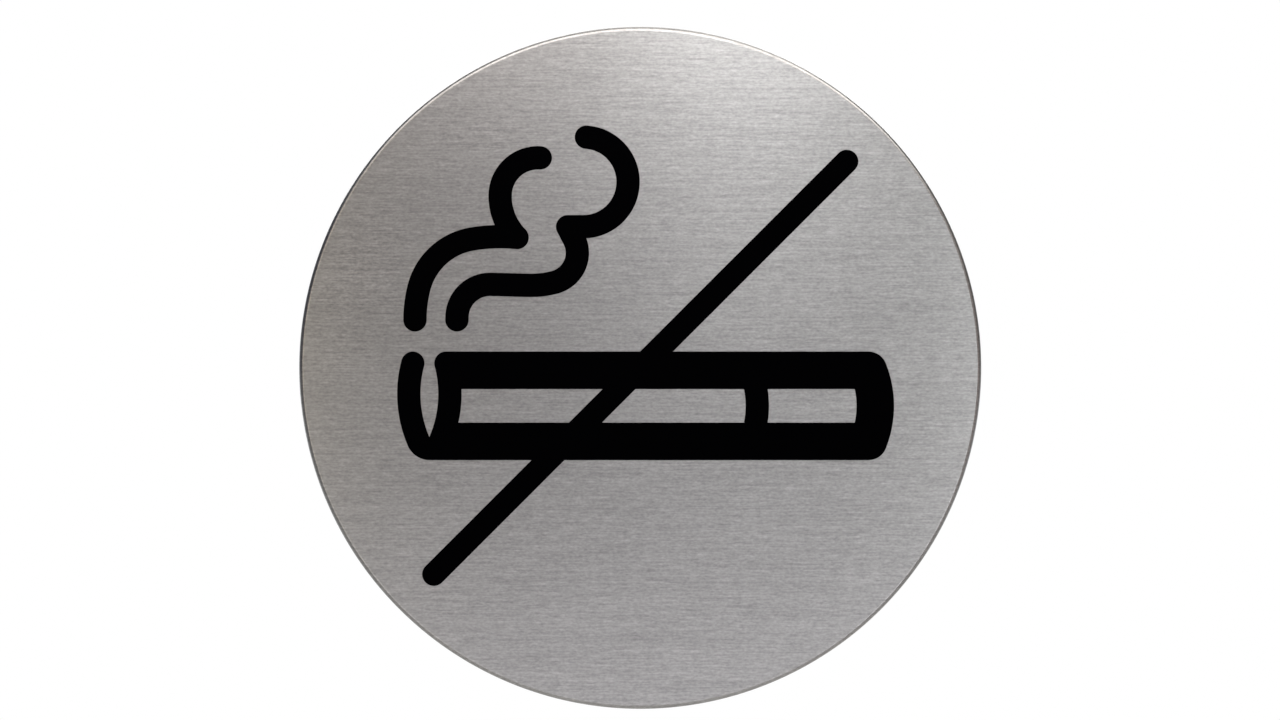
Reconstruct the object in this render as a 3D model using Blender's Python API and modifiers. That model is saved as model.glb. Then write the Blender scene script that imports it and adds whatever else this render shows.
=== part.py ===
"""Round stick-on no smoking sign: a brushed steel disc with a printed figure.

The sign is upright, as it hangs on a wall or a door. X runs to the viewer's
right, Z up, and the wall is the plane Y = 0. The sign stands out of the wall
towards -Y. Everything is drawn in a sheet frame first: x to the right, y up
the sign and z out of the wall. An empty turns that frame upright.

The sheet is a stack: an adhesive pad against the wall, the steel plate on the
pad, and three islands of black ink on the plate's face.
"""

import math

import bmesh
import bpy
from mathutils import Vector

# Steel plate, in metres
PLATE_DIAMETER = 0.083
PLATE_THICKNESS = 0.0010
FRONT_EDGE_RADIUS = 0.00056
BACK_EDGE_CHAMFER = 0.00015

# Adhesive pad behind the plate
PAD_THICKNESS = 0.0005
PAD_EDGE_MARGIN = 0.0025

# Ink film, and the line that most of the figure is drawn with
INK_THICKNESS = 0.00004
STROKE_WIDTH = 0.00284

# Slanted bar, through the plate's centre
BAR_ANGLE = 45
BAR_EDGE_MARGIN = 0.0046

# Cigarette: outer size, and its place from the plate's centre
CIGARETTE_LENGTH = 0.0604
CIGARETTE_HEIGHT = 0.0132
CIGARETTE_BAND_WIDTH = 0.00456
CIGARETTE_SHIFT = 0.00065
CIGARETTE_DROP = 0.00462

# Burning tip: two arcs, drawn as the rim of a tube seen at a slant
TIP_ARC_RADIUS = 0.0146
TIP_ARC_SPACING = 0.0050
TIP_ARC_RISE = 0.00145
TIP_FOOT_RADIUS = 0.0029

# Mouth end, and the line where the filter starts
END_ARC_RADIUS = 0.0116
FILTER_LENGTH = 0.01662

# Smoke: two trails that rise side by side over the tip
SMOKE_GAP = 0.00243
SMOKE_INSET = 0.00075
SMOKE_SPACING = 0.0051

# Left trail: it rises and levels out, and a hook starts back from its end
LEFT_RISE_RADII = (0.016, 0.008, 0.020)
LEFT_RISE_TURNS = (-14, -66, -16)
LEFT_HOOK_HEADING = 134.5
LEFT_HOOK_RADII = (0.0072, 0.0046)
LEFT_HOOK_TURNS = (-45.5, -92.5)

# Right trail: it rises, runs level and rises again, and a wide loop starts there
RIGHT_RISE_RADII = (0.008, 0.004)
RIGHT_RISE_TURNS = (-4.5, -87)
RIGHT_LEVEL_RUN = 0.0045
RIGHT_BEND_RADII = (0.012, 0.0037)
RIGHT_BEND_TURNS = (15.5, 103.5)
RIGHT_NECK_RUN = 0.00166
RIGHT_LOOP_HEADING = 0
RIGHT_LOOP_RUN = 0.0019
RIGHT_LOOP_RADIUS = 0.00545
RIGHT_LOOP_TURN = 176

# Facets: how far a chord may leave its arc, the steps round the disc, and how
# far two faces turn, in degrees, before the edge between them is a sharp one
CHORD_ERROR = 0.000004
PLATE_STEPS = 160
EDGE_STEPS = 6
SHARP_ANGLE = 30
WELD_DISTANCE = 0.000001

# Places that follow from the sizes above
PLATE_RADIUS = PLATE_DIAMETER / 2
PLATE_FRONT = PAD_THICKNESS + PLATE_THICKNESS
HALF_STROKE = STROKE_WIDTH / 2
HALF_BAND = CIGARETTE_BAND_WIDTH / 2
CIGARETTE_LEFT = CIGARETTE_SHIFT - CIGARETTE_LENGTH / 2
CIGARETTE_RIGHT = CIGARETTE_SHIFT + CIGARETTE_LENGTH / 2
CIGARETTE_TOP = CIGARETTE_HEIGHT / 2 - CIGARETTE_DROP
CIGARETTE_BOTTOM = -CIGARETTE_HEIGHT / 2 - CIGARETTE_DROP
TIP_LEFT_CREST = CIGARETTE_LEFT + HALF_STROKE
TIP_RIGHT_CREST = TIP_LEFT_CREST + TIP_ARC_SPACING
SMOKE_FOOT = CIGARETTE_TOP + SMOKE_GAP + HALF_STROKE


def clear_scene():
    """Remove every object that the scene starts with."""
    for thing in list(bpy.data.objects):
        bpy.data.objects.remove(thing, do_unlink=True)


def new_collection(name):
    """Add a collection to the scene and return it."""
    collection = bpy.data.collections.new(name)
    bpy.context.scene.collection.children.link(collection)
    return collection


def finish(name, colour, roughness, metallic):
    """Return a plain surface finish."""
    material = bpy.data.materials.new(name)
    material.use_nodes = True
    shader = material.node_tree.nodes["Principled BSDF"]
    shader.inputs["Base Color"].default_value = (*colour, 1.0)
    shader.inputs["Roughness"].default_value = roughness
    shader.inputs["Metallic"].default_value = metallic
    material.diffuse_color = (*colour, 1.0)
    return material


def shade_round(mesh):
    """Shade a mesh's curved sides smooth and keep its sharp edges."""
    mesh.shade_smooth()
    mesh.set_sharp_from_angle(angle=math.radians(SHARP_ANGLE))


def steps_for(radius, sweep):
    """Return how many chords keep an arc within the chord error."""
    step = 2 * math.acos(1 - CHORD_ERROR / radius)
    return max(1, math.ceil(abs(sweep) / step))


def arc(centre, radius, start, end):
    """Return points on an arc, from one angle to another in radians."""
    count = steps_for(radius, end - start)
    angles = [start + (end - start) * i / count for i in range(count + 1)]
    return [centre + radius * Vector((math.cos(a), math.sin(a))) for a in angles]


def outline_of(*stretches):
    """Join stretches of points into one closed outline with no point twice."""
    points = [point for stretch in stretches for point in stretch]
    before = points[-1:] + points[:-1]
    return [point for point, last in zip(points, before) if (point - last).length > WELD_DISTANCE]


def run(path, length):
    """Lengthen a centreline by a straight run."""
    point, heading = path[-1]
    ahead = Vector((math.cos(heading), math.sin(heading)))
    path.append((point + length * ahead, heading))


def turn(path, radius, degrees):
    """Lengthen a centreline by an arc that turns left, or right if negative."""
    point, heading = path[-1]
    sweep = math.radians(degrees)
    side = math.copysign(math.pi / 2, sweep)
    centre = point + radius * Vector((math.cos(heading + side), math.sin(heading + side)))
    count = steps_for(radius + HALF_STROKE, sweep)
    for i in range(1, count + 1):
        now = heading + sweep * i / count
        spoke = Vector((math.cos(now - side), math.sin(now - side)))
        path.append((centre + radius * spoke, now))


def stroke_outline(path):
    """Return the outline of a round-ended stroke along a centreline."""
    right = [point + HALF_STROKE * Vector((math.sin(h), -math.cos(h))) for point, h in path]
    left = [point - HALF_STROKE * Vector((math.sin(h), -math.cos(h))) for point, h in path]
    first, first_heading = path[0]
    last, last_heading = path[-1]
    quarter = math.pi / 2
    end_cap = arc(last, HALF_STROKE, last_heading - quarter, last_heading + quarter)
    start_cap = arc(first, HALF_STROKE, first_heading + quarter, first_heading + 3 * quarter)
    return outline_of(right, end_cap, reversed(left), start_cap)


def tip_centre(crest_x, side):
    """Return the centre of one of the tip's arcs: side is 1 left, -1 right."""
    return Vector((crest_x + side * TIP_ARC_RADIUS, TIP_ARC_RISE - CIGARETTE_DROP))


def end_centre(crest_x):
    """Return the centre of an arc that bulges to the right at mid-height."""
    return Vector((crest_x - END_ARC_RADIUS, -CIGARETTE_DROP))


def cigarette_outline():
    """Return the cigarette's outer outline, anticlockwise from its foot."""
    left_centre = tip_centre(TIP_LEFT_CREST, 1)
    right_centre = tip_centre(TIP_RIGHT_CREST, -1)
    inner = TIP_ARC_RADIUS - HALF_STROKE
    outer = TIP_ARC_RADIUS + HALF_STROKE
    cap_rise = CIGARETTE_TOP - HALF_STROKE - left_centre.y
    cap_angle = math.asin(cap_rise / TIP_ARC_RADIUS)
    notch_angle = math.acos((left_centre.x - right_centre.x) / 2 / inner)

    foot_rise = CIGARETTE_BOTTOM + TIP_FOOT_RADIUS - left_centre.y
    foot_angle = math.pi - math.asin(foot_rise / (outer - TIP_FOOT_RADIUS))
    foot = left_centre + (outer - TIP_FOOT_RADIUS) * Vector((math.cos(foot_angle), math.sin(foot_angle)))
    left_cap = left_centre + TIP_ARC_RADIUS * Vector((-math.cos(cap_angle), math.sin(cap_angle)))
    right_cap = right_centre + TIP_ARC_RADIUS * Vector((math.cos(cap_angle), math.sin(cap_angle)))

    mouth = end_centre(CIGARETTE_RIGHT - HALF_BAND)
    mouth_angle = math.asin((CIGARETTE_HEIGHT / 2 - HALF_BAND) / END_ARC_RADIUS)
    corner_offset = END_ARC_RADIUS * Vector((math.cos(mouth_angle), math.sin(mouth_angle)))
    upper_corner = mouth + corner_offset
    lower_corner = mouth + corner_offset * Vector((1, -1))

    return outline_of(
        arc(foot, TIP_FOOT_RADIUS, foot_angle, 3 * math.pi / 2),
        arc(lower_corner, HALF_BAND, -math.pi / 2, -mouth_angle),
        arc(mouth, END_ARC_RADIUS + HALF_BAND, -mouth_angle, mouth_angle),
        arc(upper_corner, HALF_BAND, mouth_angle, math.pi / 2),
        arc(right_cap, HALF_STROKE, math.pi / 2, math.pi + cap_angle),
        arc(right_centre, inner, cap_angle, -notch_angle),
        arc(left_centre, inner, math.pi + notch_angle, math.pi - cap_angle),
        arc(left_cap, HALF_STROKE, -cap_angle, math.pi - cap_angle),
        arc(left_centre, outer, math.pi - cap_angle, foot_angle),
    )


def edge_between(centre, radius, low, high):
    """Return an arc's right-hand stretch between two heights, going up."""
    return arc(centre, radius, math.asin((low - centre.y) / radius), math.asin((high - centre.y) / radius))


def window_outline(left_edge, right_edge):
    """Return a bare window between two curved edges, each a centre and radius."""
    low = CIGARETTE_BOTTOM + CIGARETTE_BAND_WIDTH
    high = CIGARETTE_TOP - CIGARETTE_BAND_WIDTH
    return outline_of(edge_between(*right_edge, low, high), reversed(edge_between(*left_edge, low, high)))


def cigarette_outlines():
    """Return the cigarette's outer outline and its two windows."""
    tip = tip_centre(TIP_RIGHT_CREST, -1)
    filter_line = end_centre(CIGARETTE_RIGHT - FILTER_LENGTH)
    mouth = end_centre(CIGARETTE_RIGHT - HALF_BAND)
    paper = window_outline((tip, TIP_ARC_RADIUS + HALF_STROKE), (filter_line, END_ARC_RADIUS - HALF_STROKE))
    mouthpiece = window_outline(
        (filter_line, END_ARC_RADIUS + HALF_STROKE), (mouth, END_ARC_RADIUS - HALF_BAND)
    )
    return [cigarette_outline(), paper, mouthpiece]


def bar_path():
    """Return the slanted bar's centreline, short of the plate's edge at both ends."""
    reach = PLATE_RADIUS - BAR_EDGE_MARGIN - HALF_STROKE
    heading = math.radians(BAR_ANGLE)
    path = [(-reach * Vector((math.cos(heading), math.sin(heading))), heading)]
    run(path, 2 * reach)
    return path


def left_smoke_paths():
    """Return the left trail's two strokes, which meet at a corner."""
    rise = [(Vector((TIP_LEFT_CREST + SMOKE_INSET, SMOKE_FOOT)), math.pi / 2)]
    for radius, degrees in zip(LEFT_RISE_RADII, LEFT_RISE_TURNS):
        turn(rise, radius, degrees)
    hook = [(rise[-1][0], math.radians(LEFT_HOOK_HEADING))]
    for radius, degrees in zip(LEFT_HOOK_RADII, LEFT_HOOK_TURNS):
        turn(hook, radius, degrees)
    return rise, hook


def right_smoke_paths():
    """Return the right trail's two strokes, which meet at a corner."""
    rise = [(Vector((TIP_LEFT_CREST + SMOKE_INSET + SMOKE_SPACING, SMOKE_FOOT)), math.pi / 2)]
    for radius, degrees in zip(RIGHT_RISE_RADII, RIGHT_RISE_TURNS):
        turn(rise, radius, degrees)
    run(rise, RIGHT_LEVEL_RUN)
    for radius, degrees in zip(RIGHT_BEND_RADII, RIGHT_BEND_TURNS):
        turn(rise, radius, degrees)
    run(rise, RIGHT_NECK_RUN)
    loop = [(rise[-1][0], math.radians(RIGHT_LOOP_HEADING))]
    run(loop, RIGHT_LOOP_RUN)
    turn(loop, RIGHT_LOOP_RADIUS, RIGHT_LOOP_TURN)
    return rise, loop


def film(name, outlines, collection, sheet):
    """Make a flat film of ink on the plate's face from closed outlines."""
    curve = bpy.data.curves.new(name, "CURVE")
    curve.dimensions = "2D"
    curve.fill_mode = "BOTH"
    curve.extrude = INK_THICKNESS / 2
    for points in outlines:
        spline = curve.splines.new("POLY")
        spline.points.add(len(points) - 1)
        spline.use_cyclic_u = True
        for target, point in zip(spline.points, points):
            target.co = (point.x, point.y, 0, 1)
    drawn = bpy.data.objects.new(name, curve)
    collection.objects.link(drawn)
    drawn.parent = sheet
    drawn.location = (0, 0, PLATE_FRONT + INK_THICKNESS / 2)
    bpy.context.view_layer.update()

    evaluated = drawn.evaluated_get(bpy.context.evaluated_depsgraph_get())
    mesh = bpy.data.meshes.new_from_object(evaluated)
    welded = bmesh.new()
    welded.from_mesh(mesh)
    bmesh.ops.remove_doubles(welded, verts=welded.verts, dist=WELD_DISTANCE)
    bmesh.ops.recalc_face_normals(welded, faces=welded.faces)
    welded.to_mesh(mesh)
    welded.free()
    solid = bpy.data.objects.new(name, mesh)
    collection.objects.link(solid)
    solid.parent = sheet
    solid.matrix_world = drawn.matrix_world
    bpy.data.objects.remove(drawn)
    bpy.data.curves.remove(curve)
    solid.name = name
    return solid


def join_film(first, second):
    """Let a film take in another one that crosses it, as one printed island."""
    second.display_type = "WIRE"
    second.hide_render = True
    union = first.modifiers.new("join " + second.name, "BOOLEAN")
    union.operation = "UNION"
    union.solver = "EXACT"
    union.object = second


def make_plate(collection, sheet):
    """Turn the plate: a flat face, a rounded front edge and a small back chamfer."""
    edge_centre = Vector((PLATE_RADIUS - FRONT_EDGE_RADIUS, PLATE_FRONT - FRONT_EDGE_RADIUS))
    profile = [Vector((0, PLATE_FRONT))]
    for i in range(EDGE_STEPS + 1):
        angle = math.pi / 2 * (1 - i / EDGE_STEPS)
        profile.append(edge_centre + FRONT_EDGE_RADIUS * Vector((math.cos(angle), math.sin(angle))))
    profile.append(Vector((PLATE_RADIUS, PAD_THICKNESS + BACK_EDGE_CHAMFER)))
    profile.append(Vector((PLATE_RADIUS - BACK_EDGE_CHAMFER, PAD_THICKNESS)))
    profile.append(Vector((0, PAD_THICKNESS)))

    drawn = bpy.data.meshes.new("plate_profile")
    edges = [(i, i + 1) for i in range(len(profile) - 1)]
    drawn.from_pydata([(point.x, 0, point.y) for point in profile], edges, [])
    plate = bpy.data.objects.new("plate", drawn)
    collection.objects.link(plate)
    plate.parent = sheet
    screw = plate.modifiers.new("turn", "SCREW")
    screw.axis = "Z"
    screw.steps = PLATE_STEPS
    screw.render_steps = PLATE_STEPS
    screw.use_merge_vertices = True
    screw.merge_threshold = WELD_DISTANCE
    bpy.context.view_layer.update()

    evaluated = plate.evaluated_get(bpy.context.evaluated_depsgraph_get())
    turned = bpy.data.meshes.new_from_object(evaluated)
    plate.modifiers.remove(screw)
    plate.data = turned
    bpy.data.meshes.remove(drawn)
    turned.name = "plate"
    shade_round(turned)
    return plate


def make_pad(collection, sheet):
    """Make the pad: a die-cut disc that stands back from the plate's edge."""
    mesh = bpy.data.meshes.new("adhesive_pad")
    disc = bmesh.new()
    radius = PLATE_RADIUS - PAD_EDGE_MARGIN
    bmesh.ops.create_cone(
        disc, cap_ends=True, segments=PLATE_STEPS, radius1=radius, radius2=radius, depth=PAD_THICKNESS
    )
    disc.to_mesh(mesh)
    disc.free()
    shade_round(mesh)
    pad = bpy.data.objects.new("adhesive_pad", mesh)
    collection.objects.link(pad)
    pad.parent = sheet
    pad.location = (0, 0, PAD_THICKNESS / 2)
    return pad


def make_smoke(name, paths, parts, tools, sheet):
    """Print one smoke trail from its two strokes."""
    first, second = paths
    trail = film(name, [stroke_outline(first)], parts, sheet)
    join_film(trail, film(name + "_second_stroke", [stroke_outline(second)], tools, sheet))
    return trail


def main():
    """Build the sign."""
    clear_scene()
    parts = new_collection("no_smoking_sign")
    tools = new_collection("no_smoking_sign_tools")
    sheet = bpy.data.objects.new("sheet_upright", None)
    sheet.rotation_euler = (math.pi / 2, 0, 0)
    parts.objects.link(sheet)

    plate = make_plate(parts, sheet)
    pad = make_pad(parts, sheet)
    cigarette = film("print_cigarette_and_bar", cigarette_outlines(), parts, sheet)
    join_film(cigarette, film("bar_stroke", [stroke_outline(bar_path())], tools, sheet))
    left_smoke = make_smoke("print_smoke_left", left_smoke_paths(), parts, tools, sheet)
    right_smoke = make_smoke("print_smoke_right", right_smoke_paths(), parts, tools, sheet)

    plate.data.materials.append(finish("brushed_steel", (0.36, 0.35, 0.34), 0.35, 1.0))
    pad.data.materials.append(finish("white_adhesive_foam", (0.75, 0.75, 0.72), 0.7, 0.0))
    for printed in (cigarette, left_smoke, right_smoke):
        printed.data.materials.append(finish("black_ink_" + printed.name, (0.004, 0.004, 0.005), 0.6, 0.0))


main()
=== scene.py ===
"""Looks of the round no smoking sign: brushed steel, printed ink, foam pad, and the studio round them.

The sign keeps the frame's axes: X to the viewer's right, Z up, and the wall that it sticks to at Y = 0,
so the printed face looks along -Y. Every length is in metres, unless its name says otherwise.
"""

import logging
import math
from dataclasses import dataclass, field
from enum import Enum
from typing import ClassVar

import bmesh
import bpy
from mathutils import Matrix, Vector


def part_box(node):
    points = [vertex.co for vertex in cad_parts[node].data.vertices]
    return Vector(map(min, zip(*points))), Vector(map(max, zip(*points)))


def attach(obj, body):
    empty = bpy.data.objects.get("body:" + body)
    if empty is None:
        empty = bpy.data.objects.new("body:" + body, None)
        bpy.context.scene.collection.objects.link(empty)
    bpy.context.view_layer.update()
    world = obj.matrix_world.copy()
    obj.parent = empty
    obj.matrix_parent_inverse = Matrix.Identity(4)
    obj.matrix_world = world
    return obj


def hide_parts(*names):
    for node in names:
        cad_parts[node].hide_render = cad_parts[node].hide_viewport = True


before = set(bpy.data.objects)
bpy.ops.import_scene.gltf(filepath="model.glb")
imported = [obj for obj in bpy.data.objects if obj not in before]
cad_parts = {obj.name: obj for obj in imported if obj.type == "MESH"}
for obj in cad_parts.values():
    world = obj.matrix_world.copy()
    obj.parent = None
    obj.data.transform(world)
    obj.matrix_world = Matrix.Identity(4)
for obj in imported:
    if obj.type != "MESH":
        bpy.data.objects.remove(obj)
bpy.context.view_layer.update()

LOG = logging.getLogger("no_smoking_sign")
BODY = "root"
MM = 0.001
# Corners closer than this are one: in a copy of a node's loose triangles, and where a turned disc closes.
MERGE_DISTANCE = 1e-7
WELD_DISTANCE = 1e-6


class Slot(Enum):
    """The record's material slots."""

    STEEL = "steel"
    FOAM = "adhesive_foam"
    INK = "black_ink"


class Island(Enum):
    """The printed islands, by the node that each one stands for."""

    CIGARETTE_AND_BAR = "print_cigarette_and_bar"
    SMOKE_LEFT = "print_smoke_left"
    SMOKE_RIGHT = "print_smoke_right"


def linear(colour: str) -> tuple[float, float, float, float]:
    """Turn an sRGB hex colour to linear light.

    Args:
        colour: The colour, such as "#C8C5C1".

    Returns:
        Red, green, blue and an alpha of one.
    """
    shares = [int(colour[i : i + 2], 16) / 255 for i in (1, 3, 5)]
    light = [s / 12.92 if s <= 0.04045 else ((s + 0.055) / 1.055) ** 2.4 for s in shares]
    return (*light, 1.0)


def add_node(
    tree: bpy.types.NodeTree, kind: str, settings: dict | None = None, inputs: dict | None = None
) -> bpy.types.Node:
    """Add a node to a tree, with its settings and links.

    Args:
        tree: The tree that takes the node.
        kind: The node's type.
        settings: The node's properties, by name.
        inputs: A value or a socket to link for each input, by its name or number.

    Returns:
        The node.
    """
    node = tree.nodes.new(kind)
    for name, value in (settings or {}).items():
        setattr(node, name, value)
    for name, value in (inputs or {}).items():
        if isinstance(value, bpy.types.NodeSocket):
            tree.links.new(value, node.inputs[name])
        else:
            node.inputs[name].default_value = value
    return node


def new_material(name: str) -> tuple[bpy.types.Material, bpy.types.NodeTree, bpy.types.Node]:
    """Add a material with a bare Principled shader.

    Args:
        name: The material's name.

    Returns:
        The material, its tree and its shader node.
    """
    material = bpy.data.materials.new(name)
    material.use_nodes = True
    tree = material.node_tree
    tree.nodes.clear()
    shader = add_node(tree, "ShaderNodeBsdfPrincipled")
    add_node(tree, "ShaderNodeOutputMaterial", inputs={"Surface": shader.outputs["BSDF"]})
    return material, tree, shader


@dataclass(frozen=True)
class GrainLayer:
    """Brush marks of one size, drawn by one noise pattern.

    Attributes:
        length: How long a mark is, along X.
        width: How wide a mark is, across X.
        share: How much of the grain these marks make.
    """

    length: float
    width: float
    share: float


@dataclass(frozen=True)
class BrushedStainlessSteel:
    """Stainless steel sheet, belt-brushed along X with a 180 to 240 grit before it was blanked.

    The brush marks spread light up and down and hardly to the sides, so lights draw out into tall soft
    glows. Marks show as fine level lines, lighter and darker, from half a millimetre to some millimetres
    long. Real ones are 0.02 to 0.05 mm wide, which is too fine to show where a pixel of the picture is
    0.12 mm, so they are drawn 0.24 mm wide.

    Attributes:
        colour: The steel's colour.
        roughness: How far the marks spread light, on the whole.
        anisotropy: How much more they spread it across themselves than along.
        quarter_turn: Turns the long side of the gloss from along the tangent to across the marks.
        grain: The marks, by size.
        layer_shift: How far each layer's pattern is moved from the last, so that no two match.
        noise_detail: Octaves of each layer's pattern.
        noise_roughness: How strong its finer octaves are.
        grain_contrast: How much lighter and darker the marks are.
        grain_roughness: How much the roughness changes with them.
        grain_depth: How deep the marks are.
    """

    colour: str = "#A7A7A8"
    roughness: float = 0.30
    anisotropy: float = 0.70
    quarter_turn: float = 0.25
    grain: tuple[GrainLayer, ...] = (
        GrainLayer(0.42 * MM, 0.24 * MM, 0.38),
        GrainLayer(1.7 * MM, 0.24 * MM, 0.36),
        GrainLayer(8.0 * MM, 0.25 * MM, 0.27),
    )
    layer_shift: tuple[float, float, float] = (3.7, 1.3, 5.1)
    noise_detail: float = 2.0
    noise_roughness: float = 0.6
    grain_contrast: float = 1.75
    grain_roughness: float = 0.10
    grain_depth: float = 0.0006 * MM

    def grain_pattern(self, tree: bpy.types.NodeTree) -> bpy.types.NodeSocket:
        """Add up the layers of brush marks.

        Args:
            tree: The material's tree.

        Returns:
            The grain's height, round zero.
        """
        place = add_node(tree, "ShaderNodeTexCoord").outputs["Object"]
        total = None
        for number, layer in enumerate(self.grain):
            scaled = add_node(
                tree,
                "ShaderNodeMapping",
                {"vector_type": "POINT"},
                {
                    "Vector": place,
                    "Location": [number * shift for shift in self.layer_shift],
                    "Scale": (1 / layer.length, 1 / layer.width, 1 / layer.width),
                },
            )
            noise = add_node(
                tree,
                "ShaderNodeTexNoise",
                {"noise_dimensions": "3D"},
                {
                    "Vector": scaled.outputs["Vector"],
                    "Scale": 1.0,
                    "Detail": self.noise_detail,
                    "Roughness": self.noise_roughness,
                },
            )
            centred = add_node(
                tree,
                "ShaderNodeMath",
                {"operation": "MULTIPLY_ADD"},
                {0: noise.outputs["Fac"], 1: layer.share, 2: -layer.share / 2},
            ).outputs[0]
            if total is None:
                total = centred
            else:
                total = add_node(
                    tree, "ShaderNodeMath", {"operation": "ADD"}, {0: total, 1: centred}
                ).outputs[0]
        return total

    def material(self) -> bpy.types.Material:
        """Make the material.

        Returns:
            Brushed steel, whose marks multiply its colour by a power of their height, so that light and dark
            marks weigh the same.
        """
        material, tree, shader = new_material("brushed_stainless_steel")
        grain = self.grain_pattern(tree)
        gain = add_node(
            tree, "ShaderNodeMath", {"operation": "POWER"}, {0: math.exp(self.grain_contrast), 1: grain}
        )
        tinted = add_node(
            tree,
            "ShaderNodeVectorMath",
            {"operation": "SCALE"},
            {0: linear(self.colour)[:3], "Scale": gain.outputs[0]},
        )
        roughness = add_node(
            tree,
            "ShaderNodeMath",
            {"operation": "MULTIPLY_ADD"},
            {0: grain, 1: self.grain_roughness, 2: self.roughness},
        )
        bump = add_node(
            tree, "ShaderNodeBump", inputs={"Height": grain, "Strength": 1.0, "Distance": self.grain_depth}
        )
        tangent = add_node(
            tree, "ShaderNodeTangent", {"direction_type": "UV_MAP", "uv_map": TurnedDisc.uv_map}
        )
        shader.inputs["Metallic"].default_value = 1.0
        shader.inputs["Anisotropic"].default_value = self.anisotropy
        shader.inputs["Anisotropic Rotation"].default_value = self.quarter_turn
        tree.links.new(tinted.outputs["Vector"], shader.inputs["Base Color"])
        tree.links.new(roughness.outputs[0], shader.inputs["Roughness"])
        tree.links.new(bump.outputs["Normal"], shader.inputs["Normal"])
        tree.links.new(tangent.outputs["Tangent"], shader.inputs["Tangent"])
        return material


@dataclass(frozen=True)
class ScreenPrintedInk:
    """Matt black two-pack ink, screen-printed and baked.

    It is the darkest thing on the sign and hardly shines. The screen leaves a faint unevenness in the film,
    with the pitch of its mesh. The photograph shows none of it, so it keeps its real size.

    Attributes:
        colour: The ink's colour.
        roughness: How far its faint gloss spreads.
        specular_level: How strong that gloss is.
        mesh_pitch: From thread to thread of the screen.
        noise_detail: Octaves of the unevenness.
        film_unevenness: How high it is.
    """

    colour: str = "#010102"
    roughness: float = 0.55
    specular_level: float = 0.005
    mesh_pitch: float = 0.12 * MM
    noise_detail: float = 2.0
    film_unevenness: float = 0.0008 * MM

    def material(self) -> bpy.types.Material:
        """Make the material.

        Returns:
            Black ink with the film's unevenness as bump.
        """
        material, tree, shader = new_material("screen_printed_black_ink")
        place = add_node(tree, "ShaderNodeTexCoord").outputs["Object"]
        noise = add_node(
            tree,
            "ShaderNodeTexNoise",
            {"noise_dimensions": "3D"},
            {"Vector": place, "Scale": 1 / self.mesh_pitch, "Detail": self.noise_detail},
        )
        bump = add_node(
            tree,
            "ShaderNodeBump",
            inputs={"Height": noise.outputs["Fac"], "Strength": 1.0, "Distance": self.film_unevenness},
        )
        shader.inputs["Base Color"].default_value = linear(self.colour)
        shader.inputs["Roughness"].default_value = self.roughness
        shader.inputs["Specular IOR Level"].default_value = self.specular_level
        tree.links.new(bump.outputs["Normal"], shader.inputs["Normal"])
        return material


@dataclass(frozen=True)
class AdhesiveFoam:
    """White closed-cell polyethylene foam tape with a tacky acrylic skin, die-cut.

    The cells, 0.2 to 0.5 mm across in such foam, show as fine pits under a skin that glistens a little.

    Attributes:
        colour: The foam's colour.
        pit_shade_colour: Its colour in the pits.
        roughness: How matt the foam is.
        cell: How wide a cell is.
        cell_smoothness: How far the cells flow into each other.
        pit_floor: The distance from a cell's middle at which its wall starts to rise.
        pit_top: The distance at which the wall is at its full height.
        pit_depth: How deep a pit is.
        skin_weight: How much the acrylic skin shines.
        skin_roughness: How far that shine spreads.
    """

    colour: str = "#E4E2DA"
    pit_shade_colour: str = "#CFCCC0"
    roughness: float = 0.42
    cell: float = 0.35 * MM
    cell_smoothness: float = 0.4
    pit_floor: float = 0.15
    pit_top: float = 0.55
    pit_depth: float = 0.02 * MM
    skin_weight: float = 0.35
    skin_roughness: float = 0.25

    def material(self) -> bpy.types.Material:
        """Make the material.

        Returns:
            White foam with pitted cells under a clear coat, the pits darkened with painted shade.
        """
        material, tree, shader = new_material("closed_cell_adhesive_foam")
        place = add_node(tree, "ShaderNodeTexCoord").outputs["Object"]
        cells = add_node(
            tree,
            "ShaderNodeTexVoronoi",
            {"voronoi_dimensions": "3D", "feature": "SMOOTH_F1"},
            {"Vector": place, "Scale": 1 / self.cell, "Smoothness": self.cell_smoothness},
        )
        wall = add_node(
            tree,
            "ShaderNodeMapRange",
            inputs={
                "Value": cells.outputs["Distance"],
                "From Min": self.pit_floor,
                "From Max": self.pit_top,
            },
        )
        # Painted shade: the foam's colour darkens towards each pit's floor, where its walls would shade it.
        tinted = add_node(
            tree,
            "ShaderNodeMix",
            {"data_type": "RGBA"},
            {"Factor": wall.outputs["Result"], "A": linear(self.pit_shade_colour), "B": linear(self.colour)},
        )
        bump = add_node(
            tree,
            "ShaderNodeBump",
            inputs={"Height": wall.outputs["Result"], "Strength": 1.0, "Distance": self.pit_depth},
        )
        shader.inputs["Roughness"].default_value = self.roughness
        shader.inputs["Coat Weight"].default_value = self.skin_weight
        shader.inputs["Coat Roughness"].default_value = self.skin_roughness
        tree.links.new(tinted.outputs["Result"], shader.inputs["Base Color"])
        tree.links.new(bump.outputs["Normal"], shader.inputs["Normal"])
        return material


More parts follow.
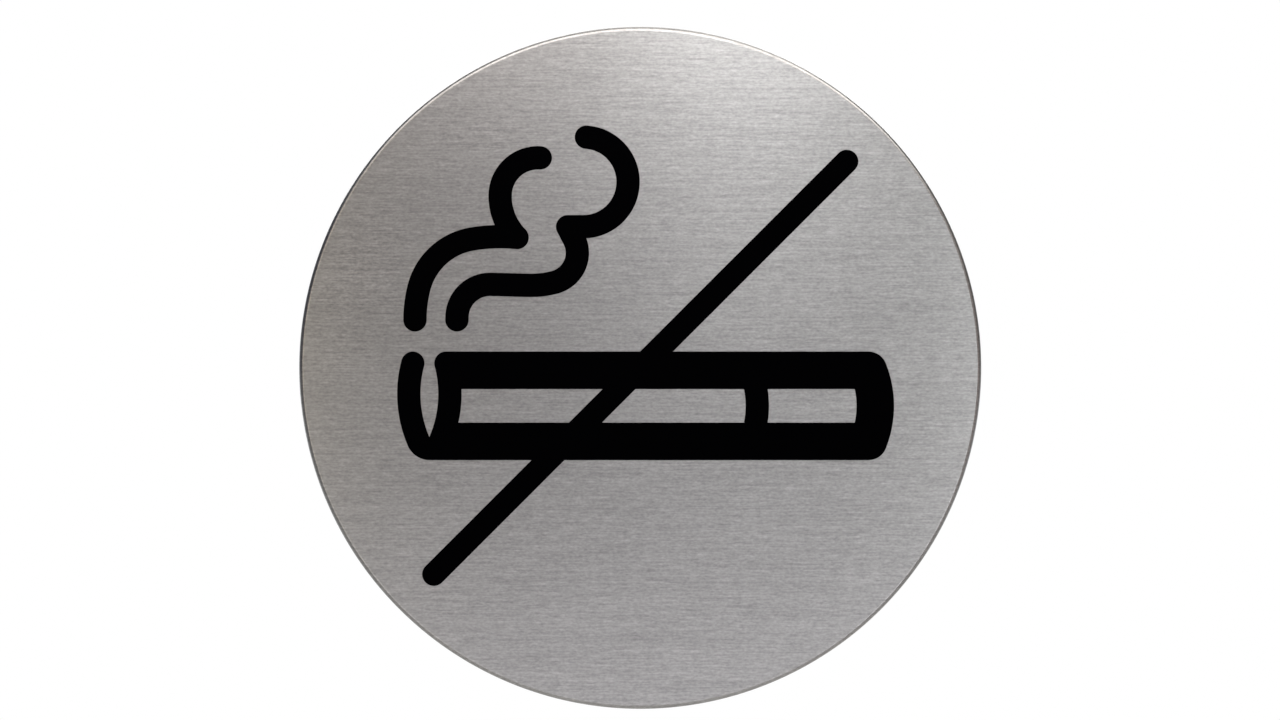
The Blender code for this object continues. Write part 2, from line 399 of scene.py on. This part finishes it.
@dataclass(frozen=True)
class StudioPaper:
    """Matt white paper under the sign, which fades into the white of the backdrop further out.

    Near the sign it is lit paper and takes the sign's shadow, with some plain white added for camera and
    glass. Far out they see plain white alone, and so does gloss behind the sign. In front of it, gloss sees
    the lit paper, as it does the studio.

    Attributes:
        colour: The paper's colour.
        roughness: How matt it is.
        near_white: How much plain white the camera sees in it under the sign.
        lit_radius: How far from the sign the plain white starts to take over.
        fade_radius: How far from the sign there is only plain white.
        behind: How far behind the sign gloss sees all of the plain white.
    """

    colour: str = "#F4F4F2"
    roughness: float = 0.8
    near_white: float = 0.55
    lit_radius: float = 0.10
    fade_radius: float = 0.40
    behind: float = 0.5

    def material(self) -> bpy.types.Material:
        """Make the material.

        Returns:
            Lit paper, mixed with plain white by place and by kind of ray.
        """
        material, tree, shader = new_material("matt_white_studio_paper")
        shader.inputs["Base Color"].default_value = linear(self.colour)
        shader.inputs["Roughness"].default_value = self.roughness
        place = add_node(tree, "ShaderNodeTexCoord").outputs["Object"]
        distance = add_node(tree, "ShaderNodeVectorMath", {"operation": "LENGTH"}, {0: place})
        fade = add_node(
            tree,
            "ShaderNodeMapRange",
            {"interpolation_type": "SMOOTHSTEP"},
            {
                "Value": distance.outputs["Value"],
                "From Min": self.lit_radius,
                "From Max": self.fade_radius,
                "To Min": self.near_white,
            },
        )
        depth = add_node(tree, "ShaderNodeSeparateXYZ", inputs={"Vector": place}).outputs["Y"]
        behind = add_node(
            tree,
            "ShaderNodeMapRange",
            {"interpolation_type": "SMOOTHSTEP"},
            {"Value": depth, "From Max": self.behind},
        )
        seen = white_for(tree, behind.outputs["Result"])
        share = add_node(
            tree, "ShaderNodeMath", {"operation": "MULTIPLY"}, {0: fade.outputs["Result"], 1: seen}
        )
        plain = add_node(tree, "ShaderNodeEmission", inputs={"Color": (1, 1, 1, 1), "Strength": 1.0})
        mixed = add_node(
            tree,
            "ShaderNodeMixShader",
            inputs={0: share.outputs[0], 1: shader.outputs["BSDF"], 2: plain.outputs["Emission"]},
        )
        output = next(node for node in tree.nodes if node.type == "OUTPUT_MATERIAL")
        tree.links.new(mixed.outputs["Shader"], output.inputs["Surface"])
        return material


def white_for(tree: bpy.types.NodeTree, glossy_share: bpy.types.NodeSocket) -> bpy.types.NodeSocket:
    """Tell how much a ray sees of the plain white backdrop.

    Args:
        tree: The tree of a material or of the world.
        glossy_share: How much of it a glossy ray sees in this direction or place.

    Returns:
        One for camera and transmission rays, that share for glossy rays, and zero for the others.
    """
    path = add_node(tree, "ShaderNodeLightPath").outputs
    gloss = add_node(
        tree, "ShaderNodeMath", {"operation": "MULTIPLY"}, {0: path["Is Glossy Ray"], 1: glossy_share}
    )
    seen = add_node(
        tree,
        "ShaderNodeMath",
        {"operation": "MAXIMUM"},
        {0: path["Is Camera Ray"], 1: path["Is Transmission Ray"]},
    )
    return add_node(
        tree, "ShaderNodeMath", {"operation": "MAXIMUM"}, {0: seen.outputs[0], 1: gloss.outputs[0]}
    ).outputs[0]


@dataclass
class TurnedDisc:
    """A flat disc turned about Y, made by a geometry node tree from its profile.

    Attributes:
        name: The piece's name.
        node: The frame's node that it replaces.
        slot: The record's material slot for it.
        front_rounding: Radius of the edge that looks along -Y.
        back_rounding: Radius, or chamfer if its steps are one, of the edge at the wall's side.
        front_steps: Steps across the front rounding.
        back_steps: Steps across the back rounding.
        steps_around: Steps round the disc.
    """

    name: str
    node: str
    slot: Slot
    front_rounding: float
    back_rounding: float
    front_steps: int
    back_steps: int
    steps_around: int = 720

    uv_map: ClassVar[str] = "flat_uv"
    sharp_angle: ClassVar[float] = math.radians(30)
    flat_limit: ClassVar[float] = 0.99999

    def tree(self) -> bpy.types.NodeTree:
        """Make the tree that turns a rounded profile into a disc.

        Returns:
            The geometry node tree, with named inputs for its sizes.
        """
        tree = bpy.data.node_groups.new(self.name + "_turning", "GeometryNodeTree")
        interface = tree.interface
        interface.new_socket("Geometry", in_out="OUTPUT", socket_type="NodeSocketGeometry")
        for name, kind in (
            ("Radius", "NodeSocketFloat"),
            ("Front height", "NodeSocketFloat"),
            ("Back height", "NodeSocketFloat"),
            ("Front rounding", "NodeSocketFloat"),
            ("Back rounding", "NodeSocketFloat"),
            ("Front steps", "NodeSocketInt"),
            ("Back steps", "NodeSocketInt"),
            ("Steps around", "NodeSocketInt"),
            ("Material", "NodeSocketMaterial"),
        ):
            interface.new_socket(name, in_out="INPUT", socket_type=kind)
        sizes = add_node(tree, "NodeGroupInput").outputs
        index = add_node(tree, "GeometryNodeInputIndex").outputs["Index"]

        to_axis = add_node(
            tree, "ShaderNodeMath", {"operation": "MULTIPLY"}, {0: sizes["Radius"], 1: -1.0}
        ).outputs[0]
        corners = [
            add_node(tree, "ShaderNodeCombineXYZ", inputs={"X": x, "Y": y}).outputs["Vector"]
            for x, y in (
                (to_axis, sizes["Front height"]),
                (0.0, sizes["Front height"]),
                (0.0, sizes["Back height"]),
                (to_axis, sizes["Back height"]),
            )
        ]
        line = add_node(tree, "GeometryNodeMeshLine", inputs={"Count": len(corners)})
        placed = add_node(
            tree,
            "GeometryNodeSetPosition",
            inputs={
                "Geometry": line.outputs["Mesh"],
                "Position": self.by_corner(tree, "VECTOR", index, corners),
            },
        )
        profile = add_node(tree, "GeometryNodeMeshToCurve", inputs={"Mesh": placed.outputs["Geometry"]})
        rounded = add_node(
            tree,
            "GeometryNodeFilletCurve",
            {"mode": "POLY"},
            {
                "Curve": profile.outputs["Curve"],
                "Radius": self.by_corner(
                    tree, "FLOAT", index, [0.0, sizes["Front rounding"], sizes["Back rounding"], 0.0]
                ),
                "Count": self.by_corner(
                    tree, "INT", index, [1, sizes["Front steps"], sizes["Back steps"], 1]
                ),
            },
        )
        circle = add_node(
            tree,
            "GeometryNodeCurvePrimitiveCircle",
            {"mode": "RADIUS"},
            {"Resolution": sizes["Steps around"], "Radius": sizes["Radius"]},
        )
        swept = add_node(
            tree,
            "GeometryNodeCurveToMesh",
            inputs={"Curve": circle.outputs["Curve"], "Profile Curve": rounded.outputs["Curve"]},
        )
        merged = add_node(
            tree,
            "GeometryNodeMergeByDistance",
            inputs={"Geometry": swept.outputs["Mesh"], "Distance": WELD_DISTANCE},
        )
        upright = add_node(
            tree,
            "GeometryNodeTransform",
            inputs={"Geometry": merged.outputs["Geometry"], "Rotation": (-math.pi / 2, 0, 0)},
        )
        place = add_node(tree, "GeometryNodeInputPosition").outputs["Position"]
        flat = add_node(tree, "ShaderNodeSeparateXYZ", inputs={"Vector": place}).outputs
        uv = add_node(tree, "ShaderNodeCombineXYZ", inputs={"X": flat["X"], "Y": flat["Z"]})
        mapped = add_node(
            tree,
            "GeometryNodeStoreNamedAttribute",
            {"data_type": "FLOAT2", "domain": "CORNER"},
            {"Geometry": upright.outputs["Geometry"], "Name": self.uv_map, "Value": uv.outputs["Vector"]},
        )
        normal = add_node(tree, "GeometryNodeInputNormal").outputs["Normal"]
        out = add_node(tree, "ShaderNodeSeparateXYZ", inputs={"Vector": normal}).outputs["Y"]
        slope = add_node(tree, "ShaderNodeMath", {"operation": "ABSOLUTE"}, {0: out})
        curved = add_node(
            tree, "ShaderNodeMath", {"operation": "LESS_THAN"}, {0: slope.outputs[0], 1: self.flat_limit}
        )
        shaded = add_node(
            tree,
            "GeometryNodeSetShadeSmooth",
            {"domain": "FACE"},
            {"Geometry": mapped.outputs["Geometry"], "Shade Smooth": curved.outputs[0]},
        )
        real = add_node(tree, "GeometryNodeRealizeInstances", inputs={"Geometry": shaded.outputs["Geometry"]})
        dressed = add_node(
            tree,
            "GeometryNodeSetMaterial",
            inputs={"Geometry": real.outputs["Geometry"], "Material": sizes["Material"]},
        )
        add_node(tree, "NodeGroupOutput", inputs={"Geometry": dressed.outputs["Geometry"]})
        return tree

    @staticmethod
    def by_corner(
        tree: bpy.types.NodeTree, kind: str, index: bpy.types.NodeSocket, values: list
    ) -> bpy.types.NodeSocket:
        """Give each corner of the profile its own value.

        Args:
            tree: The geometry node tree.
            kind: The values' data type.
            index: The corner's number.
            values: One value or socket for each corner, in order.

        Returns:
            The value at the corner in hand.
        """
        switch = add_node(tree, "GeometryNodeIndexSwitch", {"data_type": kind})
        while len(switch.index_switch_items) < len(values):
            switch.index_switch_items.new()
        tree.links.new(index, switch.inputs["Index"])
        for number, value in enumerate(values):
            socket = switch.inputs[number + 1]
            if isinstance(value, bpy.types.NodeSocket):
                tree.links.new(value, socket)
            else:
                socket.default_value = value
        return switch.outputs[0]

    def build(self, finish: bpy.types.Material) -> bpy.types.Object:
        """Make the disc as a plain mesh, in the place of its node.

        Args:
            finish: The disc's material.

        Returns:
            The piece, riding on the sign and standing for its node.
        """
        low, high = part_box(self.node)
        tree = self.tree()
        host = bpy.data.objects.new(self.name + "_host", bpy.data.meshes.new(self.name + "_host"))
        bpy.context.scene.collection.objects.link(host)
        modifier = host.modifiers.new("turning", "NODES")
        modifier.node_group = tree
        sizes = {
            "Radius": (high.x - low.x) / 2,
            "Front height": -low.y,
            "Back height": -high.y,
            "Front rounding": self.front_rounding,
            "Back rounding": self.back_rounding,
            "Front steps": self.front_steps,
            "Back steps": self.back_steps,
            "Steps around": self.steps_around,
            "Material": finish,
        }
        for item in tree.interface.items_tree:
            if item.in_out == "INPUT":
                modifier[item.identifier] = sizes[item.name]
        bpy.context.view_layer.update()
        mesh = bpy.data.meshes.new_from_object(host.evaluated_get(bpy.context.evaluated_depsgraph_get()))
        bpy.data.objects.remove(host)
        mesh.name = self.name
        turned = bmesh.new()
        turned.from_mesh(mesh)
        bmesh.ops.recalc_face_normals(turned, faces=turned.faces)
        turned.to_mesh(mesh)
        turned.free()
        mesh.set_sharp_from_angle(angle=self.sharp_angle)
        piece = bpy.data.objects.new(self.name, mesh)
        bpy.context.scene.collection.objects.link(piece)
        return seat(piece, self.slot, self.node)


def seat(piece: bpy.types.Object, slot: Slot, node: str) -> bpy.types.Object:
    """Let a piece ride on the sign in the place of a node.

    Args:
        piece: The finished piece.
        slot: The record's material slot for it; not used.
        node: The node that it stands for.

    Returns:
        The piece.
    """
    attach(piece, BODY)
    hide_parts(node)
    return piece


@dataclass
class SteelPlate:
    """The steel disc: a flat brushed face whose front edge was rounded when it was pressed out.

    Attributes:
        finish: The brushed steel.
        edge_radius: The front edge's radius, as the photograph's rim shows it.
        back_chamfer: The back edge's chamfer.
        edge_steps: Steps across the front rounding.
    """

    finish: BrushedStainlessSteel = field(default_factory=BrushedStainlessSteel)
    edge_radius: float = 0.56 * MM
    back_chamfer: float = 0.15 * MM
    edge_steps: int = 24

    def build(self) -> bpy.types.Object:
        """Make the plate."""
        disc = TurnedDisc(
            name="steel_plate",
            node="plate",
            slot=Slot.STEEL,
            front_rounding=self.edge_radius,
            back_rounding=self.back_chamfer,
            front_steps=self.edge_steps,
            back_steps=1,
        )
        return disc.build(self.finish.material())


@dataclass
class FoamPad:
    """The adhesive pad behind the plate, with edges that the cutting die has pressed a little round.

    Attributes:
        finish: The foam.
        pressed_edge: The radius of both edges.
        edge_steps: Steps across each rounding.
        steps_around: Steps round the pad.
        fill: How tight the pad is; not used.
    """

    finish: AdhesiveFoam = field(default_factory=AdhesiveFoam)
    pressed_edge: float = 0.09 * MM
    edge_steps: int = 5
    steps_around: int = 360
    fill: float = 1.0

    def build(self) -> bpy.types.Object:
        """Make the pad.

        Returns:
            The pad.
        """
        disc = TurnedDisc(
            name="foam_adhesive_pad",
            node="adhesive_pad",
            slot=Slot.FOAM,
            front_rounding=self.pressed_edge,
            back_rounding=self.pressed_edge,
            front_steps=self.edge_steps,
            back_steps=self.edge_steps,
            steps_around=self.steps_around,
        )
        pad = disc.build(self.finish.material())
        return pad


@dataclass
class PrintedFigure:
    """The printed cigarette, smoke and bar: films of ink whose edges have flowed round before they dried.

    Attributes:
        finish: The ink.
        edge_insets: How wide each band of the rounded edge is, from the outside in.
        edge_drops: How far behind the film's front the outer side of each band lies.
    """

    finish: ScreenPrintedInk = field(default_factory=ScreenPrintedInk)
    edge_insets: tuple[float, ...] = (0.008 * MM, 0.010 * MM)
    edge_drops: tuple[float, ...] = (0.020 * MM, 0.006 * MM)

    def build(self) -> list[bpy.types.Object]:
        """Make each island of ink.

        Returns:
            The islands.
        """
        material = self.finish.material()
        return [self.island(island, material) for island in Island]

    def island(self, island: Island, material: bpy.types.Material) -> bpy.types.Object:
        """Make one island from its node's own outline, with a rounded edge.

        Args:
            island: Which island it is.
            material: The ink.

        Returns:
            The piece, riding on the sign and standing for its node.
        """
        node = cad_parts[island.value]
        low, _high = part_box(island.value)
        film = bmesh.new()
        film.from_mesh(node.data)
        bmesh.ops.remove_doubles(film, verts=film.verts, dist=MERGE_DISTANCE)
        front = [face for face in film.faces if face.calc_center_median().y < low.y + MERGE_DISTANCE]
        rim = self.outline(front)
        for inset, drop in zip(self.edge_insets, self.edge_drops):
            bmesh.ops.inset_region(film, faces=front, thickness=inset, use_even_offset=True)
            for vertex in rim:
                vertex.co.y += drop
            rim = self.outline(front)
        bmesh.ops.recalc_face_normals(film, faces=film.faces)
        mesh = bpy.data.meshes.new("ink_" + island.value)
        film.to_mesh(mesh)
        film.free()
        mesh.materials.append(material)
        piece = bpy.data.objects.new("ink_" + island.value, mesh)
        bpy.context.scene.collection.objects.link(piece)
        return seat(piece, Slot.INK, island.value)

    @staticmethod
    def outline(front: list[bmesh.types.BMFace]) -> set[bmesh.types.BMVert]:
        """Find the vertices on the outline of the film's front.

        Args:
            front: The front's faces.

        Returns:
            The vertices that a face outside the front meets too.
        """
        inside = set(front)
        corners = {vertex for face in front for vertex in face.verts}
        return {vertex for vertex in corners if any(face not in inside for face in vertex.link_faces)}


@dataclass(frozen=True)
class Lamp:
    """A soft lamp of the studio.

    Attributes:
        name: The lamp's name.
        place: Its centre.
        aim: The point that it looks at.
        size: Its width and height.
        brightness: How bright its face is, where one is white.
        colour: Its colour.
    """

    name: str
    place: tuple[float, float, float]
    aim: tuple[float, float, float]
    size: tuple[float, float]
    brightness: float
    colour: str = "#FFFFFF"

    def build(self) -> bpy.types.Object:
        """Hang the lamp, unseen by the camera.

        Returns:
            The lamp.
        """
        data = bpy.data.lights.new(self.name, "AREA")
        data.shape = "RECTANGLE"
        data.size, data.size_y = self.size
        data.energy = self.brightness * math.pi * self.size[0] * self.size[1]
        data.color = linear(self.colour)[:3]
        lamp = bpy.data.objects.new(self.name, data)
        lamp.location = self.place
        lamp.rotation_euler = (Vector(self.aim) - Vector(self.place)).to_track_quat("-Z", "Y").to_euler()
        lamp.visible_camera = False
        bpy.context.scene.collection.objects.link(lamp)
        return lamp


@dataclass
class Studio:
    """Camera, lamps, floor and the room round the sign.

    Attributes:
        image_width: The photograph's width, in pixels.
        image_height: The photograph's height, in pixels.
        disc_centre: Where the disc's centre is in the photograph, in pixels.
        disc_radius: The disc's radius in the photograph, in pixels.
        lens_mm: The camera's focal length, in millimetres.
        sensor_mm: The camera's sensor width, in millimetres.
        near_clip: The nearest that the camera sees.
        far_clip: The furthest that the camera sees.
        floor_drop: How far below the sign the floor is.
        floor_size: How wide the floor is.
        panel_edge: How far from straight behind the sign the white panel ends.
        panel_core: How far from there it is at its full white.
        room: The colours of the room's six walls, by their direction.
        lamps: The lamps. Those by the rim draw its pale line, and those in front light the brushed face.
    """

    image_width: int = 1280
    image_height: int = 720
    disc_centre: tuple[float, float] = (640.26, 367.83)
    disc_radius: float = 341.45
    lens_mm: float = 100.0
    sensor_mm: float = 36.0
    near_clip: float = 0.01
    far_clip: float = 20.0
    floor_drop: float = 0.12
    floor_size: float = 8.0
    panel_edge: float = math.radians(35)
    panel_core: float = math.radians(10)
    room: dict[str, str] = field(
        default_factory=lambda: {
            "+X": "#76726F",
            "-X": "#40444F",
            "+Y": "#A2A19F",
            "-Y": "#353536",
            "+Z": "#ACA9A6",
            "-Z": "#8E8C90",
        }
    )
    lamps: tuple[Lamp, ...] = (
        Lamp("bar_over_the_rim", (0.01, -0.035, 0.066), (0, 0, 0), (0.10, 0.05), 0.90, "#FFF8EE"),
        Lamp("wide_bar_over_the_sign", (0.005, -0.05, 0.09), (0, 0, 0), (0.22, 0.05), 2.58, "#FFF9F2"),
        Lamp("bar_behind_the_rim", (0.01, 0.02, 0.10), (0, 0, 0.04), (0.12, 0.04), 0.84, "#FFFAF3"),
        Lamp("softbox_behind_the_sign", (0, 0.50, 0.20), (0, 0, 0), (0.45, 0.30), 3.5, "#FFFDFA"),
        Lamp("strip_over_the_camera", (0.035, -0.50, 0.20), (0, 0, 0), (0.06, 0.14), 8.34, "#FFFEFD"),
        Lamp("strip_at_the_upper_left", (-0.06, -0.50, 0.24), (0, 0, 0), (0.08, 0.12), 1.98, "#FFEFF2"),
        Lamp("strip_right_of_the_camera", (0.15, -0.50, 0.02), (0, 0, 0), (0.05, 0.24), 3.86, "#FEFFFD"),
        Lamp("strip_left_of_the_camera", (-0.165, -0.50, 0.02), (0, 0, 0), (0.05, 0.24), 2.17, "#FFEFCA"),
        Lamp("fill_under_the_camera", (0, -0.25, -0.095), (0, 0, 0), (0.30, 0.06), 1.52, "#FBF8FC"),
        Lamp("softbox_at_the_left", (-0.16, -0.25, 0.10), (0, 0, 0), (0.08, 0.20), 0.84, "#FFE9D6"),
        Lamp("softbox_at_the_right", (0.25, -0.20, 0.05), (0, 0, 0), (0.20, 0.30), 0.31, "#FFE6DA"),
    )

    def build(self) -> None:
        """Build the studio."""
        self.camera()
        self.world()
        self.floor()
        for lamp in self.lamps:
            lamp.build()
        bpy.context.scene.view_settings.view_transform = "Standard"

    def camera(self) -> bpy.types.Object:
        """Set up the camera square to the sign, as far away as the photograph's framing needs.

        Returns:
            The camera.
        """
        low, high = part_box("plate")
        pixel = (high.x - low.x) / 2 / self.disc_radius
        distance = pixel * self.image_width * self.lens_mm / self.sensor_mm
        data = bpy.data.cameras.new("camera")
        data.lens = self.lens_mm
        data.sensor_width = self.sensor_mm
        data.clip_start = self.near_clip
        data.clip_end = self.far_clip
        camera = bpy.data.objects.new("camera", data)
        across = (self.image_width / 2 - self.disc_centre[0]) * pixel
        up = (self.disc_centre[1] - self.image_height / 2) * pixel
        camera.location = (across, low.y - distance, up)
        camera.rotation_euler = (math.pi / 2, 0, 0)
        bpy.context.scene.collection.objects.link(camera)
        bpy.context.scene.camera = camera
        return camera

    def world(self) -> None:
        """Make the room: six walls of plain colour that blend, and a white panel behind the sign."""
        world = bpy.data.worlds.new("studio_room")
        bpy.context.scene.world = world
        world.use_nodes = True
        tree = world.node_tree
        tree.nodes.clear()
        towards = add_node(tree, "ShaderNodeTexCoord").outputs["Generated"]
        parts = add_node(tree, "ShaderNodeSeparateXYZ", inputs={"Vector": towards}).outputs
        panel = add_node(
            tree,
            "ShaderNodeMapRange",
            {"interpolation_type": "SMOOTHSTEP"},
            {
                "Value": parts["Y"],
                "From Min": math.cos(self.panel_edge),
                "From Max": math.cos(self.panel_core),
            },
        ).outputs["Result"]
        light = None
        for wall, colour in self.room.items():
            sign = 1.0 if wall[0] == "+" else -1.0
            facing = add_node(
                tree,
                "ShaderNodeMath",
                {"operation": "MULTIPLY", "use_clamp": True},
                {0: parts[wall[1]], 1: sign},
            )
            share = add_node(tree, "ShaderNodeMath", {"operation": "POWER"}, {0: facing.outputs[0], 1: 2.0})
            tint = add_node(
                tree,
                "ShaderNodeVectorMath",
                {"operation": "SCALE"},
                {0: linear(colour)[:3], "Scale": share.outputs[0]},
            ).outputs["Vector"]
            if light is None:
                light = tint
            else:
                light = add_node(
                    tree, "ShaderNodeVectorMath", {"operation": "ADD"}, {0: light, 1: tint}
                ).outputs[0]
        white = add_node(
            tree, "ShaderNodeMath", {"operation": "MAXIMUM"}, {0: white_for(tree, panel), 1: panel}
        )
        colour = add_node(
            tree,
            "ShaderNodeMix",
            {"data_type": "RGBA"},
            {"Factor": white.outputs[0], "A": light, "B": (1, 1, 1, 1)},
        )
        background = add_node(
            tree, "ShaderNodeBackground", inputs={"Color": colour.outputs["Result"], "Strength": 1.0}
        )
        add_node(tree, "ShaderNodeOutputWorld", inputs={"Surface": background.outputs["Background"]})

    def floor(self) -> bpy.types.Object:
        """Lay the white paper under the sign.

        Returns:
            The floor.
        """
        low, _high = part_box("plate")
        mesh = bpy.data.meshes.new("paper_floor")
        sheet = bmesh.new()
        bmesh.ops.create_grid(sheet, x_segments=1, y_segments=1, size=self.floor_size / 2)
        sheet.to_mesh(mesh)
        sheet.free()
        mesh.materials.append(StudioPaper().material())
        floor = bpy.data.objects.new("paper_floor", mesh)
        floor.matrix_world = Matrix.Translation((0, 0, low.z - self.floor_drop))
        bpy.context.scene.collection.objects.link(floor)
        return floor


def main() -> None:
    """Build the sign and its studio."""
    logging.basicConfig(level=logging.INFO, format="%(message)s")
    pieces = [SteelPlate().build(), FoamPad().build(), *PrintedFigure().build()]
    for piece in pieces:
        LOG.info("%s: %d faces", piece.name, len(piece.data.polygons))
    Studio().build()


if __name__ == "__main__":
    main()
